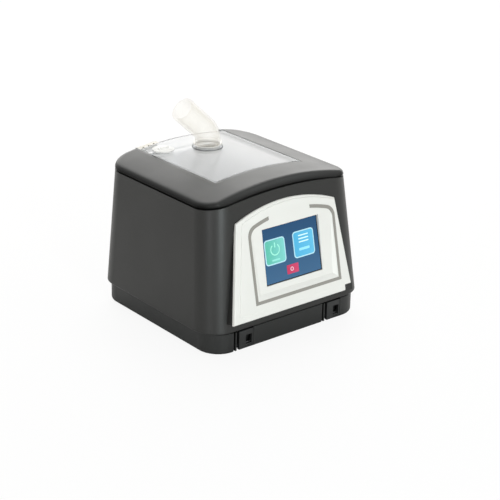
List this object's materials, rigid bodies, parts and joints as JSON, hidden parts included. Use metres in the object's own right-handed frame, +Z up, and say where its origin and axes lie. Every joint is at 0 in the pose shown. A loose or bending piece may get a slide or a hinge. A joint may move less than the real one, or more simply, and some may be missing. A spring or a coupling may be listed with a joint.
{
  "type": "positive airway pressure machine",
  "caption": "Bedside breathing machine: black sloped case, white touch-screen front wedge, clear humidifier chamber in the top with a swivelling hose elbow.",
  "frame": {"origin": "middle of the footprint at the table, under the rubber feet", "axes": "+X to the machine's right seen from the front, +Y to the back, +Z up; the touch screen faces -Y"},
  "size_m": [0.1698, 0.1716, 0.1818],
  "materials": {
    "black_shell": "satin, fine texture",
    "black_base": "satin",
    "black_latch": "satin",
    "white_panel": "satin",
    "white_liner": "satin",
    "white_tab": "semi-gloss",
    "grey_line": "satin",
    "clear_plastic": "clear moulded polycarbonate",
    "clear_lid": "clear moulded polycarbonate",
    "screen_glass": "lit display behind glass",
    "silicone": "soft, translucent",
    "dark_rubber": "matt",
    "foam": "open foam",
    "steel": "brushed",
    "bright_steel": "bright zinc",
    "alloy": "machined",
    "natural_plastic": "matt",
    "green_board": "solder mask",
    "motor_metal": "zinc plated",
    "black_gloss": "gloss"
  },
  "bodies": {
    "machine": {"upper_housing": "black_shell", "top_rim": "black_shell", "base_tray": "black_base", "rubber_feet": "dark_rubber", "cover_screws": "bright_steel", "latch_pins": "bright_steel", "front_panel": "white_panel", "corner_block": "black_latch", "frame_line": "grey_line", "touch_glass": "screen_glass", "lcd_module": "motor_metal", "display_board": "green_board", "bay_liner": "white_liner", "heater_plate": "alloy", "heater_gasket": "silicone", "blower_housing": "natural_plastic", "blower_cover": "natural_plastic", "blower_motor": "motor_metal", "blower_mounts": "dark_rubber", "air_duct": "natural_plastic", "inlet_seal": "silicone", "power_supply": "green_board", "main_board": "green_board", "filter_foam": "foam", "power_socket": "black_gloss", "rocker_frame": "black_gloss"},
    "chamber": {"water_tub": "clear_plastic", "chamber_base": "steel"},
    "lid": {"chamber_lid": "clear_lid", "lid_seal": "silicone", "lift_tab": "white_tab"},
    "plug": {"filler_plug": "clear_lid"},
    "elbow": {"outlet_elbow": "clear_lid"},
    "rotor": {"impeller": "natural_plastic", "motor_shaft": "steel"},
    "clip_left": {"latch_clip_left": "black_latch"},
    "clip_right": {"latch_clip_right": "black_latch"},
    "rocker": {"rocker_button": "black_gloss"},
    "filter_door": {"filter_cover": "black_latch"}
  },
  "joints": [
    {"name": "chamber_lift", "type": "slide", "parent": "machine", "child": "chamber", "axis": [0, 0, 1], "range_m": [0, 0.08]},
    {"name": "lid_lift", "type": "slide", "parent": "chamber", "child": "lid", "axis": [0, 0, 1], "range_m": [0, 0.04]},
    {"name": "plug_lift", "type": "slide", "parent": "lid", "child": "plug", "axis": [0, 0, 1], "range_m": [0, 0.02]},
    {"name": "elbow_swivel", "type": "hinge", "parent": "lid", "child": "elbow", "pos_m": [0, 0.03808, 0.135], "axis": [0, 0, 1], "continuous": true},
    {"name": "impeller_spin", "type": "hinge", "parent": "machine", "child": "rotor", "pos_m": [-0.0285, 0.01138, 0.03], "axis": [0, 0, 1], "continuous": true},
    {"name": "latch_left", "type": "hinge", "parent": "machine", "child": "clip_left", "pos_m": [-0.0496, -0.07292, 0.0054], "axis": [1, 0, 0], "range_deg": [0, 60]},
    {"name": "latch_right", "type": "hinge", "parent": "machine", "child": "clip_right", "pos_m": [0.0464, -0.07292, 0.0054], "axis": [1, 0, 0], "range_deg": [0, 60]},
    {"name": "mains_switch", "type": "hinge", "parent": "machine", "child": "rocker", "pos_m": [0.058, 0.08123, 0.038], "axis": [1, 0, 0], "range_deg": [-14, 0]},
    {"name": "filter_pull", "type": "slide", "parent": "machine", "child": "filter_door", "axis": [0, 1, 0], "range_m": [0, 0.02]}
  ]
}
